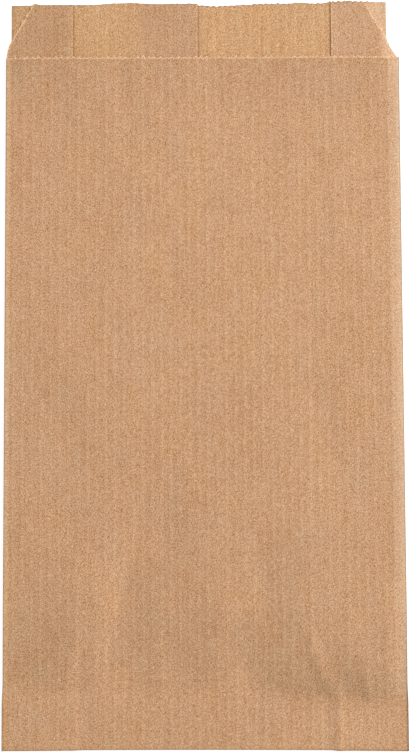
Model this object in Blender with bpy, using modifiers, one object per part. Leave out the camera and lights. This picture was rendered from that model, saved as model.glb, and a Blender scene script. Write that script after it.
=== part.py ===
"""Flat paper food bag with gusseted sides, lying on its back as it comes to rest.

The bag is one sheet of thin brown kraft paper. Across the bag the sheet starts at the inner edge of
the back's seam, goes round the left gusset, over the front, round the right gusset and back under
its own start, where it is glued. Along the bag it was cut from the web by a stepped, toothed knife,
which leaves a lip at the mouth and, from the same cut, the flap that closes the bottom.

The sheet is laid out flat first, with u across the web and v along it, and is then folded: each
point of the flat sheet has its place on the bag. Metres, +Z up, the mouth towards +Y and the front
on top. The origin is on the ground below the middle of the bag.
"""

import math
from dataclasses import dataclass
from typing import Callable

import bmesh
import bpy

MM = 0.001

# Outer sizes of the folded bag
FRONT_WIDTH = 120.0 * MM
LENGTH = 227.0 * MM
BACK_INSET_LEFT = 1.8 * MM
BACK_INSET_RIGHT = 4.0 * MM
GUSSET_DEPTH = 20.4 * MM

# The stepped cut: how far the front stops short of the back at the mouth, and the slanting part
# of the cut over the gusset's front half, with a knee where it crosses the back's side fold
LIP = 16.8 * MM
SLANT_REACH = 9.6 * MM
KNEE_DROP = 10.4 * MM
TOOTH_PITCH = 1.78 * MM
TOOTH_DEPTH = 0.6 * MM

# Lengthwise seam: where the inner ply ends across the back, how far the outer ply laps it, and how
# far past the outer ply's edge the inner ply comes down to the ground
SEAM_EDGE = -1.5 * MM
SEAM_LAP = 18.0 * MM
SEAM_MARGIN = 1.0 * MM

# Distance from the bottom crease to the back's lower cut, which lies inside the fold
CREASE_MARGIN = 2.8 * MM

# Paper, and the air between layers that are glued or pressed and between layers that are loose
PAPER = 0.08 * MM
PRESSED_GAP = 0.04 * MM
LOOSE_GAP = 0.27 * MM

# The front's swell over the air inside, its sag to the back at the mouth, and its soft buckles
SWELL = 1.4 * MM
MOUTH_SAG = 0.35 * MM
BUCKLE_HEIGHT = 0.4 * MM
BUCKLE_WIDTH = 9.0 * MM

# Lengths over which the layers ease from one height to the next
SEAM_RAMP = 3.0 * MM
CORNER_RAMP = 6.0 * MM
FLAP_RAMP = 4.0 * MM
PRESS_RAMP = 26.0 * MM
SWELL_RAMP = 80.0 * MM
SAG_RAMP = 60.0 * MM

# Fineness of the sheet
COLUMN = 7.5 * MM
ROW = 17.0 * MM
LEAST_COLUMN = 1.0 * MM
TOOTH_ROW = 1.5 * MM
FOLD_STEPS = 4
WELD = 0.001 * MM

KRAFT = (0.597, 0.352, 0.195, 1.0)
KRAFT_ROUGHNESS = 0.72

# Heights from the middle of one layer to the middle of the next
PRESSED_STEP = PAPER + PRESSED_GAP
LOOSE_STEP = PAPER + LOOSE_GAP
GROUND_LAYER = PAPER / 2

# Fold lines and edges across the bag, in the middle of the paper
HALF = FRONT_WIDTH / 2 - PAPER / 2
BACK_LEFT = -HALF + BACK_INSET_LEFT
BACK_RIGHT = HALF - BACK_INSET_RIGHT
INNER_FOLD = HALF - GUSSET_DEPTH
OUTER_EDGE = SEAM_EDGE - SEAM_LAP

# The bottom wrap: flap, corner of the gusset, back, the gusset's two halves and the front lie one
# over the other, so the front turns round the middle of a stack of five steps
WRAP_LAYERS = 5
WRAP_RADIUS = WRAP_LAYERS * PRESSED_STEP / 2
WRAP_MIDDLE = GROUND_LAYER + WRAP_RADIUS

# Widths of the flat sheet that the folds and the wrap take up
WRAP_WEB = math.pi * WRAP_RADIUS
FOLD_WEB = math.pi * LOOSE_STEP / 2

# Places along the bag. On the flat sheet v is 0 where the bottom wrap starts and grows upwards.
CREASE = -LENGTH / 2 + WRAP_RADIUS + PAPER / 2
TOP_CUT = LENGTH / 2 - TOOTH_DEPTH - CREASE
FRONT_CUT = TOP_CUT - LIP
CUT_LENGTH = TOP_CUT - CREASE_MARGIN
FLAP_WEB = LIP - CREASE_MARGIN
FLAP_END = FLAP_WEB - WRAP_WEB
PRESSED_END = FLAP_END + FLAP_RAMP


def mix(low, high, share):
    return low + (high - low) * share


def smooth(share):
    """Eases from 0 to 1 while share goes from 0 to 1."""
    share = min(max(share, 0.0), 1.0)
    return share * share * (3.0 - 2.0 * share)


@dataclass(frozen=True)
class Buckle:
    """A soft ridge along a line on the front, where the paper has buckled upwards.

    The line's ends are shares of the front: across from -1 to 1, and up from the crease, 0 to 1.
    Width and height are shares of the largest buckle's.
    """

    start: tuple
    end: tuple
    width: float
    height: float

    def lift(self, x, v):
        start_x = self.start[0] * HALF
        start_v = self.start[1] * FRONT_CUT
        run_x = self.end[0] * HALF - start_x
        run_v = self.end[1] * FRONT_CUT - start_v
        share = ((x - start_x) * run_x + (v - start_v) * run_v) / (run_x**2 + run_v**2)
        share = min(max(share, 0.0), 1.0)
        away = math.hypot(x - start_x - run_x * share, v - start_v - run_v * share)
        level = max(0.0, 1.0 - (away / (self.width * BUCKLE_WIDTH)) ** 2)
        return self.height * BUCKLE_HEIGHT * level**2


BUCKLES = (
    Buckle(start=(-0.18, 0.38), end=(-0.60, 0.13), width=1.0, height=1.0),
    Buckle(start=(0.32, 0.18), end=(0.14, 0.11), width=1.0, height=0.75),
    Buckle(start=(0.58, 0.22), end=(0.72, 0.12), width=0.9, height=0.75),
    Buckle(start=(0.66, 0.08), end=(0.67, 0.02), width=0.55, height=0.35),
    Buckle(start=(0.62, 0.93), end=(0.73, 0.75), width=0.8, height=0.4),
    Buckle(start=(-0.88, 0.11), end=(-0.30, 0.05), width=0.9, height=0.4),
)


def over_flap(v):
    """1 where the flap lies under the back, easing to 0 past the flap's end."""
    return 1.0 - smooth((v - FLAP_END) / FLAP_RAMP)


def over_corner(x):
    """1 where the gusset's corner lies under the back as well, easing to 0 towards the middle."""
    return smooth((abs(x) - (HALF - SLANT_REACH - CORNER_RAMP)) / CORNER_RAMP)


def layer_step(v):
    """The step from one loose layer to the next: pressed at the bottom, sprung open above it."""
    return mix(PRESSED_STEP, LOOSE_STEP, smooth((v - PRESSED_END) / PRESS_RAMP))


def outer_ply_height(x, v):
    return GROUND_LAYER + PRESSED_STEP * over_flap(v) * (1.0 + over_corner(x))


def inner_ply_height(x, v):
    lapped = smooth((x - OUTER_EDGE + SEAM_MARGIN + SEAM_RAMP) / SEAM_RAMP)
    return outer_ply_height(x, v) + PRESSED_STEP * lapped


def gusset_back_height(x, v):
    return outer_ply_height(x, v) + layer_step(v)


def gusset_front_height(x, v):
    return outer_ply_height(x, v) + 2 * layer_step(v)


def front_height(x, v):
    """The front bridges from fold to fold, swells over the bag's air and sags at the mouth."""
    side = gusset_front_height(HALF, v) + layer_step(v)
    bow = math.cos(math.pi / 2 * min(abs(x) / HALF, 1.0))
    swollen = smooth((v - FLAP_END) / SWELL_RAMP) * smooth((FRONT_CUT - v) / SWELL_RAMP)
    sagging = 1.0 - smooth((FRONT_CUT - v) / SAG_RAMP)
    buckled = sum(buckle.lift(x, v) for buckle in BUCKLES) * min(1.0, v / CREASE_MARGIN)
    return side + bow * (SWELL * swollen - MOUTH_SAG * sagging) + buckled


@dataclass
class Panel:
    """A run of the sheet across the bag, from one fold line or edge to the next."""

    name: str
    start: float
    end: float
    height: Callable[[float, float], float]
    web_start: float = 0.0

    @property
    def web_end(self):
        return self.web_start + abs(self.end - self.start)

    @property
    def way(self):
        return math.copysign(1.0, self.end - self.start)


def panels():
    """The sheet's panels in their order on the web, each after the last one's fold."""
    runs = [
        Panel("inner_ply", SEAM_EDGE, BACK_LEFT, inner_ply_height),
        Panel("left_gusset_back", BACK_LEFT, -INNER_FOLD, gusset_back_height),
        Panel("left_gusset_front", -INNER_FOLD, -HALF, gusset_front_height),
        Panel("front", -HALF, HALF, front_height),
        Panel("right_gusset_front", HALF, INNER_FOLD, gusset_front_height),
        Panel("right_gusset_back", INNER_FOLD, BACK_RIGHT, gusset_back_height),
        Panel("outer_ply", BACK_RIGHT, OUTER_EDGE, outer_ply_height),
    ]
    for before, after in zip(runs, runs[1:]):
        after.web_start = before.web_end + FOLD_WEB
    return runs


PANELS = panels()
FRONT = [panel.name for panel in PANELS].index("front")


def fold_radius(place, v):
    """Radius of the fold after the panel at this place in PANELS, or 0 where there is none."""
    if place < 0 or place + 1 == len(PANELS):
        return 0.0
    line = PANELS[place].end
    return abs(PANELS[place + 1].height(line, v) - PANELS[place].height(line, v)) / 2


def across(u, v):
    """How far across the bag and how high the sheet lies, above the bottom wrap."""
    place = max(place for place, panel in enumerate(PANELS) if place == 0 or u >= panel.web_start)
    panel = PANELS[place]
    radius = fold_radius(place, v)
    if u > panel.web_end and radius:
        turn = math.pi * (u - panel.web_end) / FOLD_WEB
        x = panel.end - panel.way * radius * (1.0 - math.sin(turn))
        high = PANELS[place + 1].height(panel.end, v)
        return x, mix(panel.height(panel.end, v), high, (1.0 - math.cos(turn)) / 2)
    start = panel.start + panel.way * fold_radius(place - 1, v)
    end = panel.end - panel.way * radius
    x = mix(start, end, (u - panel.web_start) / (panel.web_end - panel.web_start))
    return x, panel.height(x, v)


def folded(u, v):
    """The point of the bag that a point of the flat sheet comes to."""
    x, height = across(u, max(v, 0.0))
    if v >= 0.0:
        return x, CREASE + v, height
    radius = height - WRAP_MIDDLE
    if -v < WRAP_WEB:
        turn = math.pi * -v / WRAP_WEB
        return x, CREASE - radius * math.sin(turn), WRAP_MIDDLE + radius * math.cos(turn)
    return x, CREASE - v - WRAP_WEB, WRAP_MIDDLE - radius


def back_inset(u):
    return BACK_INSET_LEFT if u < PANELS[FRONT].web_start else BACK_INSET_RIGHT


def cut_drop(u):
    """How far the toothed cut lies below the back's part of it, at width u of the web."""
    front = PANELS[FRONT]
    from_fold = max(front.web_start - u, u - front.web_end) - FOLD_WEB
    inset = back_inset(u)
    if from_fold < inset:
        return mix(LIP, KNEE_DROP, max(from_fold, 0.0) / inset)
    return mix(KNEE_DROP, 0.0, min((from_fold - inset) / (SLANT_REACH - inset), 1.0))


def filled(places, longest):
    """The places in order, with even ones added wherever two lie further apart than longest."""
    places = sorted(places)
    line = [places[0]]
    for place in places[1:]:
        start = line[-1]
        count = max(1, math.ceil((place - start) / longest))
        line += [mix(start, place, step / count) for step in range(1, count + 1)]
    return line


def across_knots():
    """The places across the bag where every layer has a column, so that no two layers cross."""
    slant = HALF - SLANT_REACH
    sides = [HALF, slant, slant - CORNER_RAMP, INNER_FOLD]
    seam_foot = OUTER_EDGE - SEAM_MARGIN
    seam = [SEAM_EDGE, seam_foot, seam_foot - SEAM_RAMP]
    return filled([-side for side in sides] + sides + seam + [BACK_LEFT, BACK_RIGHT], COLUMN)


def wrap_columns(place):
    """Columns of a gusset's front half where the slanted cut meets the bottom wrap's rows."""
    panel = PANELS[place]
    inset = back_inset(panel.web_start)
    drops = [CREASE_MARGIN + WRAP_WEB * step / FOLD_STEPS for step in range(FOLD_STEPS + 1)]
    from_fold = [mix(inset, SLANT_REACH, 1.0 - drop / KNEE_DROP) for drop in drops]
    if place < FRONT:
        return [panel.web_end - distance for distance in from_fold]
    return [panel.web_start + distance for distance in from_fold]


def web_columns():
    """The widths u of all columns: each panel's own and the steps of each fold."""
    knots = across_knots()
    columns = []
    for place, panel in enumerate(PANELS):
        low = min(panel.start, panel.end) + LEAST_COLUMN
        high = max(panel.start, panel.end) - LEAST_COLUMN
        inside = [knot for knot in knots if low < knot < high]
        columns += [panel.web_start, panel.web_end]
        columns += [panel.web_start + abs(knot - panel.start) for knot in inside]
        if abs(place - FRONT) == 1:
            columns += wrap_columns(place)
        if panel is not PANELS[-1]:
            steps = range(1, FOLD_STEPS)
            columns += [panel.web_end + FOLD_WEB * step / FOLD_STEPS for step in steps]
    return sorted(columns)


def web_rows():
    """The heights v of all rows, from the flap's cut to the back's cut at the mouth."""
    flap = [-FLAP_WEB, -FLAP_WEB + TOOTH_ROW]
    wrap = [-WRAP_WEB * step / FOLD_STEPS for step in range(FOLD_STEPS + 1)]
    bottom = [CREASE_MARGIN, CREASE_MARGIN + TOOTH_ROW, FLAP_END, PRESSED_END]
    pressed = [PRESSED_END + PRESS_RAMP / 2, PRESSED_END + PRESS_RAMP]
    mouth = [FRONT_CUT - TOOTH_ROW, FRONT_CUT, TOP_CUT - KNEE_DROP, TOP_CUT - TOOTH_ROW, TOP_CUT]
    return filled(flap + wrap + bottom + pressed + mouth, ROW)


def cut_blank(sheet):
    """Lays out the flat sheet with its stepped cuts, and a line of points on each fold."""
    columns = web_columns()
    rows = web_rows()
    across_steps = len(columns) - 1
    along_steps = len(rows) - 1
    bmesh.ops.create_grid(sheet, x_segments=across_steps, y_segments=along_steps, size=0.5)
    for vertex in sheet.verts:
        u = columns[round((vertex.co.x + 0.5) * across_steps)]
        v = rows[round((vertex.co.y + 0.5) * along_steps)]
        top = TOP_CUT - cut_drop(u)
        vertex.co = (u, min(max(v, top - CUT_LENGTH), top), 0.0)
    bmesh.ops.remove_doubles(sheet, verts=sheet.verts, dist=WELD)


def is_seam_edge(edge):
    """Whether an edge of the flat sheet is on one of the web's two long sides."""
    widths = [vertex.co.x for vertex in edge.verts]
    return max(widths) < WELD or min(widths) > PANELS[-1].web_end - WELD


def cut_teeth(sheet):
    """Leaves the toothed knife's points along both cuts, standing out from the paper."""
    for edge in [edge for edge in sheet.edges if edge.is_boundary and not is_seam_edge(edge)]:
        start = edge.verts[0].co.copy()
        run = edge.verts[1].co - start
        teeth = round(run.length / TOOTH_PITCH)
        if teeth == 0:
            continue
        outward = run.normalized().cross((0.0, 0.0, 1.0))
        if outward.dot(edge.link_faces[0].calc_center_median() - start) > 0.0:
            outward.negate()
        split = bmesh.ops.subdivide_edges(sheet, edges=[edge], cuts=2 * teeth - 1)
        for point in (item for item in split["geom_inner"] if isinstance(item, bmesh.types.BMVert)):
            if round((point.co - start).length / run.length * 2 * teeth) % 2:
                point.co += outward * TOOTH_DEPTH
    bmesh.ops.triangulate(sheet, faces=[face for face in sheet.faces if len(face.verts) > 4])


def make_kraft():
    material = bpy.data.materials.new("kraft_paper")
    material.use_nodes = True
    surface = material.node_tree.nodes["Principled BSDF"]
    surface.inputs["Base Color"].default_value = KRAFT
    surface.inputs["Roughness"].default_value = KRAFT_ROUGHNESS
    surface.inputs["Metallic"].default_value = 0.0
    return material


def make_bag(collection):
    """Cuts the flat sheet, folds it and gives it the paper's thickness."""
    sheet = bmesh.new()
    cut_blank(sheet)
    cut_teeth(sheet)
    for vertex in sheet.verts:
        vertex.co = folded(vertex.co.x, vertex.co.y)
    mesh = bpy.data.meshes.new("bag")
    sheet.to_mesh(mesh)
    sheet.free()
    mesh.materials.append(make_kraft())
    bag = bpy.data.objects.new("bag", mesh)
    collection.objects.link(bag)
    thickness = bag.modifiers.new("paper", "SOLIDIFY")
    thickness.thickness = PAPER
    thickness.offset = 0.0
    return bag


def main():
    for leftover in list(bpy.data.objects):
        bpy.data.objects.remove(leftover, do_unlink=True)
    collection = bpy.data.collections.new("paper_food_bag")
    bpy.context.scene.collection.children.link(collection)
    make_bag(collection)


main()
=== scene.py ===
"""Looks of the flat paper food bag: its folded sheet of ribbed kraft, its cut fibres and the studio.

The bag is one sheet. It is laid out flat first, with u across the web and v along it, and is then
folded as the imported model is, with a finer mesh. v is 0 where the bottom wrap starts. Metres, +Z up,
the mouth towards +Y, the front on top.
"""

import logging
import math
from dataclasses import dataclass, field
from enum import Enum
from typing import Callable

import bmesh
import bpy
import numpy as np
from mathutils import Matrix, Vector


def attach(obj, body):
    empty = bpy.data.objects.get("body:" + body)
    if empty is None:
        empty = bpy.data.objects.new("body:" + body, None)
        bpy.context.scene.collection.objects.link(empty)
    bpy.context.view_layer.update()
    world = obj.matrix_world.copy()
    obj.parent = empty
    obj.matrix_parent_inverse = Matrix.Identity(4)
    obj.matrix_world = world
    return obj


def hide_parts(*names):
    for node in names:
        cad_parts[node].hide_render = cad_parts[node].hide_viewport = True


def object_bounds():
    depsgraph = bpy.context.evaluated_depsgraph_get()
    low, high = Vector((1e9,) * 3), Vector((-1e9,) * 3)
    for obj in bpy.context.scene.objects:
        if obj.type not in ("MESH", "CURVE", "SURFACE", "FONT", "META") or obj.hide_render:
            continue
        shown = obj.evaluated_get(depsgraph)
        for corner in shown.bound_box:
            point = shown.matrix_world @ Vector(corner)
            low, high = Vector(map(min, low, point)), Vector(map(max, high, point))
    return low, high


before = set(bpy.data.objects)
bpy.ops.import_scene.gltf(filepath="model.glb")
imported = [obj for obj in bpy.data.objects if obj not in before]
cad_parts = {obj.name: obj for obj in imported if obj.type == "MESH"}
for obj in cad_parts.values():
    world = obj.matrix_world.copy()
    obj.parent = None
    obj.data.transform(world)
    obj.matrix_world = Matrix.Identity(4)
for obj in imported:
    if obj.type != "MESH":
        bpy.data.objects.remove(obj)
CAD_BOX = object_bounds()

Array = np.ndarray
Colour = tuple[float, float, float]

MM = 0.001
SEED = 7
WHITE = (1.0, 1.0, 1.0, 1.0)
LOG = logging.getLogger("paper_bag")


def smooth(share: Array) -> Array:
    """Ease from 0 to 1 while share goes from 0 to 1."""
    share = np.clip(share, 0.0, 1.0)
    return share * share * (3.0 - 2.0 * share)


def mix(low: Array, high: Array, share: Array) -> Array:
    """Go from low to high as share goes from 0 to 1."""
    return low + (high - low) * share


class PaperSide(Enum):
    """The side of the paper that a face shows, as its place among the sheet's materials."""

    OUTSIDE = 0
    INSIDE = 1
    CUT = 2


class Run(Enum):
    """The runs of the sheet across the bag, in their order on the web."""

    INNER_PLY = 0
    LEFT_GUSSET_BACK = 1
    LEFT_GUSSET_FRONT = 2
    FRONT = 3
    RIGHT_GUSSET_FRONT = 4
    RIGHT_GUSSET_BACK = 5
    OUTER_PLY = 6


LEFT_GUSSET = (Run.LEFT_GUSSET_BACK, Run.LEFT_GUSSET_FRONT)
RIGHT_GUSSET = (Run.RIGHT_GUSSET_BACK, Run.RIGHT_GUSSET_FRONT)
BACK_PLIES = (Run.INNER_PLY, Run.OUTER_PLY)


def on_runs(run: Array, *runs: Run) -> Array:
    """Tell which points of the sheet, given by their runs' values, lie on one of the named runs."""
    return np.isin(run, [one.value for one in runs])


@dataclass(frozen=True)
class KraftStock:
    """The paper, and how its layers lie on each other.

    Attributes:
        thickness: Thickness of one layer.
        pressed_gap: Air between layers that are glued or pressed.
        loose_gap: Air between layers that have sprung open.
        rib_pitch: Distance between the ribs that run along the web.
        rib_relief: Half the height of a rib.
    """

    thickness: float = 0.08 * MM
    pressed_gap: float = 0.04 * MM
    loose_gap: float = 0.27 * MM
    rib_pitch: float = 2.79 * MM
    rib_relief: float = 0.006 * MM

    @property
    def pressed_step(self) -> float:
        """Height from one pressed layer to the next."""
        return self.thickness + self.pressed_gap

    @property
    def loose_step(self) -> float:
        """Height from one loose layer to the next."""
        return self.thickness + self.loose_gap

    @property
    def ground_layer(self) -> float:
        """Height of the middle of the lowest layer."""
        return self.thickness / 2


@dataclass(frozen=True)
class BagSizes:
    """Sizes of the folded bag. The width and length are the frame's, and the rest as in its source.

    Attributes:
        width: Width over the front's side folds.
        length: From the bottom crease to the tips of the back's toothed cut.
        stock: The paper.
        back_inset_left: From the front's left fold in to the back's.
        back_inset_right: From the front's right fold in to the back's.
        gusset_depth: From the front's side fold in to the gusset's inner fold.
        gusset_skew: How much deeper the right gusset is.
        lip: How far the front stops short of the back at the mouth.
        slant_reach: Width of the cut's slanting part over the gusset's front half.
        slant_skew: How much narrower it is on the left.
        knee_drop: Drop of the slanting cut where it crosses the back's side fold.
        tooth_depth: Depth of the cut's teeth.
        seam_edge: Where the inner ply ends across the back.
        seam_lap: How far the outer ply laps the inner one.
        crease_margin: From the bottom crease up to the back's lower cut.
        wrap_layers: Steps between the flap and the front where the bag's corner is thickest.
    """

    width: float
    length: float
    stock: KraftStock = KraftStock()
    back_inset_left: float = 1.6 * MM
    back_inset_right: float = 3.75 * MM
    gusset_depth: float = 20.4 * MM
    gusset_skew: float = 0.3 * MM
    lip: float = 17.2 * MM
    slant_reach: float = 10.4 * MM
    slant_skew: float = 2.0 * MM
    knee_drop: float = 11.4 * MM
    tooth_depth: float = 0.5 * MM
    seam_edge: float = -1.5 * MM
    seam_lap: float = 18.0 * MM
    crease_margin: float = 2.8 * MM
    wrap_layers: int = 5

    @property
    def half(self) -> float:
        """Half the width, in the middle of the paper."""
        return self.width / 2 - self.stock.thickness / 2

    @property
    def back_left(self) -> float:
        """Place of the back's left side fold."""
        return -self.half + self.back_inset_left

    @property
    def back_right(self) -> float:
        """Place of the back's right side fold."""
        return self.half - self.back_inset_right

    @property
    def inner_fold(self) -> float:
        """Distance of the gussets' inner folds from the middle."""
        return self.half - self.gusset_depth

    @property
    def right_fold(self) -> float:
        """Place of the right gusset's inner fold."""
        return self.inner_fold - self.gusset_skew

    @property
    def outer_edge(self) -> float:
        """Place of the outer ply's edge in the lap."""
        return self.seam_edge - self.seam_lap

    @property
    def wrap_radius(self) -> float:
        """Largest radius of the bottom wrap."""
        return self.wrap_layers * self.stock.pressed_step / 2

    @property
    def wrap_web(self) -> float:
        """Length of the sheet that the bottom wrap takes up."""
        return math.pi * self.wrap_radius

    @property
    def fold_web(self) -> float:
        """Width of the sheet that a side fold takes up."""
        return math.pi * self.stock.loose_step / 2

    @property
    def crease(self) -> float:
        """Place along the bag where the bottom wrap starts."""
        return -self.length / 2 + self.wrap_radius + self.stock.thickness / 2

    @property
    def top_cut(self) -> float:
        """Height v of the back's cut at the mouth."""
        return self.length / 2 - self.tooth_depth - self.crease

    @property
    def front_cut(self) -> float:
        """Height v of the front's cut at the mouth."""
        return self.top_cut - self.lip

    @property
    def cut_length(self) -> float:
        """Length of the sheet from cut to cut."""
        return self.top_cut - self.crease_margin

    @property
    def flap_web(self) -> float:
        """Length of the sheet below the bottom crease."""
        return self.lip - self.crease_margin

    @property
    def flap_end(self) -> float:
        """How far up the bag the flap reaches."""
        return self.flap_web - self.wrap_web


@dataclass(frozen=True)
class Wrinkle:
    """A soft ridge, or with negative rises a furrow, along a line on the front.

    Attributes:
        path: Points of the line, as millimetres across from the middle, up from the crease and of rise.
        width: Millimetres from it to where the wrinkle has faded to a third, on its left.
        flank: How many times wider it is on its right, where the path runs downwards.
    """

    path: tuple[tuple[float, float, float], ...]
    width: float
    flank: float = 1.0

    def lift(self, x: Array, v: Array) -> Array:
        """Work out the rise.

        Args:
            x: Places across the bag.
            v: Heights along the bag.

        Returns:
            The rise at each place.
        """
        nearest, rise = np.full_like(x, np.inf), np.zeros_like(x)
        for (start_x, start_v, start), (end_x, end_v, end) in zip(self.path, self.path[1:]):
            across, along = x / MM - start_x, v / MM - start_v
            run_x, run_v = end_x - start_x, end_v - start_v
            share = np.clip((across * run_x + along * run_v) / (run_x**2 + run_v**2), 0.0, 1.0)
            away = np.hypot(across - run_x * share, along - run_v * share)
            on_right = run_x * along - run_v * across > 0.0
            width = np.where(on_right, self.width * self.flank, self.width)
            risen = mix(start, end, share) * np.exp(-((away / width) ** 2))
            rise = np.where(away < nearest, risen, rise)
            nearest = np.minimum(nearest, away)
        return rise * MM


@dataclass(frozen=True)
class Cockle:
    """The faint all-over waviness of thin paper.

    Attributes:
        waves: How many waves are laid over each other.
        shortest: Shortest wave.
        longest: Longest wave.
        slope: Root mean square slope of the surface.
        turning: Spread of the waves' headings, in radians.
        seed: Start of the random draws.
    """

    waves: int = 60
    shortest: float = 7.0 * MM
    longest: float = 45.0 * MM
    slope: float = 0.010
    turning: float = 0.7
    seed: int = SEED

    def lift(self, x: Array, v: Array) -> Array:
        """Work out the rise.

        Args:
            x: Places across the bag.
            v: Heights along the bag.

        Returns:
            The rise at each place.
        """
        draw = np.random.default_rng(self.seed)
        rise = np.zeros_like(x)
        each = self.slope * math.sqrt(2.0 / self.waves)
        for _ in range(self.waves):
            length = self.shortest * (self.longest / self.shortest) ** draw.random()
            heading, phase = draw.normal(0.0, self.turning), draw.uniform(0.0, 2.0 * math.pi)
            number = 2.0 * math.pi / length
            along_wave = x * math.cos(heading) + v * math.sin(heading)
            rise += each / number * np.sin(number * along_wave + phase)
        return rise


FRONT_RELIEF = (
    Wrinkle(path=((-30.0, 112.0, 0.30), (-31.0, 80.0, 0.30)), width=12.0),
    Wrinkle(path=((-24.0, 82.0, 0.0), (-28.0, 62.0, 0.35), (-32.5, 46.0, 1.05), (-36.0, 34.0, 0.40),
                  (-37.0, 24.0, 0.0)), width=10.0, flank=0.45),
    Wrinkle(path=((-34.0, 48.0, 0.0), (-38.0, 36.0, 0.54), (-40.0, 25.0, 0.58), (-41.0, 15.0, 0.0)),
            width=14.0, flank=0.13),
    Wrinkle(path=((-15.5, 78.0, 0.0), (-19.5, 60.0, -0.35), (-24.0, 45.0, -0.90), (-26.8, 33.0, -0.75),
                  (-28.0, 20.0, -0.30)), width=3.3, flank=4.2),
    Wrinkle(path=((-13.5, 43.0, 0.25), (-14.5, 19.0, 0.25)), width=5.0),
    Wrinkle(path=((-11.7, 36.0, -0.09), (-11.7, 22.0, -0.09)), width=1.1),
    Wrinkle(path=((-11.0, 80.0, -0.16), (-13.2, 60.0, -0.16)), width=2.0, flank=2.0),
    Wrinkle(path=((31.0, 82.0, 0.0), (28.0, 66.0, 0.45), (22.0, 46.0, 0.30)), width=17.0),
    Wrinkle(path=((12.0, 68.0, 0.0), (10.0, 57.0, 0.35), (6.0, 38.0, 0.68), (2.5, 25.0, 0.35),
                  (1.0, 18.0, 0.0)), width=11.0, flank=0.4),
    Wrinkle(path=((20.5, 37.0, -0.46), (13.0, 23.0, -0.46)), width=3.4, flank=1.8),
    Wrinkle(path=((19.0, 57.0, -0.26), (17.0, 45.0, -0.26)), width=3.0),
    Wrinkle(path=((58.0, 26.0, 0.45), (42.0, 26.0, 0.75), (26.0, 25.0, 0.65), (12.0, 24.0, 0.0)),
            width=18.0, flank=0.46),
    Wrinkle(path=((43.0, 38.0, 0.10), (45.5, 22.0, 0.45)), width=5.0, flank=2.4),
    Wrinkle(path=((29.5, 41.0, 0.0), (30.8, 33.4, 0.26), (34.8, 21.3, 0.32), (40.0, 14.0, 0.15)), width=1.8),
    Wrinkle(path=((46.5, 29.0, 0.15), (48.6, 17.0, 0.17)), width=1.3),
    Wrinkle(path=((-12.0, 205.0, -0.06), (-12.1, 174.0, -0.06)), width=1.5),
    Wrinkle(path=((-24.5, 209.0, -0.16), (-24.5, 196.0, -0.16)), width=3.0),
    Wrinkle(path=((3.5, 209.0, -0.16), (3.5, 194.0, -0.16)), width=3.0),
    Wrinkle(path=((21.0, 181.0, -0.22), (18.0, 166.0, -0.22)), width=4.0),
    Wrinkle(path=((36.5, 192.0, 0.0), (39.0, 170.0, 0.20), (42.0, 148.0, 0.15)), width=2.6, flank=4.0),
    Wrinkle(path=((-9.2, 150.0, -0.10), (-9.2, 134.0, -0.10)), width=2.4),
    Wrinkle(path=((32.8, 135.0, -0.10), (32.6, 118.0, -0.10)), width=1.5),
    Wrinkle(path=((34.0, 108.0, -0.22), (38.0, 86.0, -0.22)), width=4.5),
    Wrinkle(path=((-40.0, 60.0, 0.15), (-46.0, 30.0, 0.15)), width=9.0),
)


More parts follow.
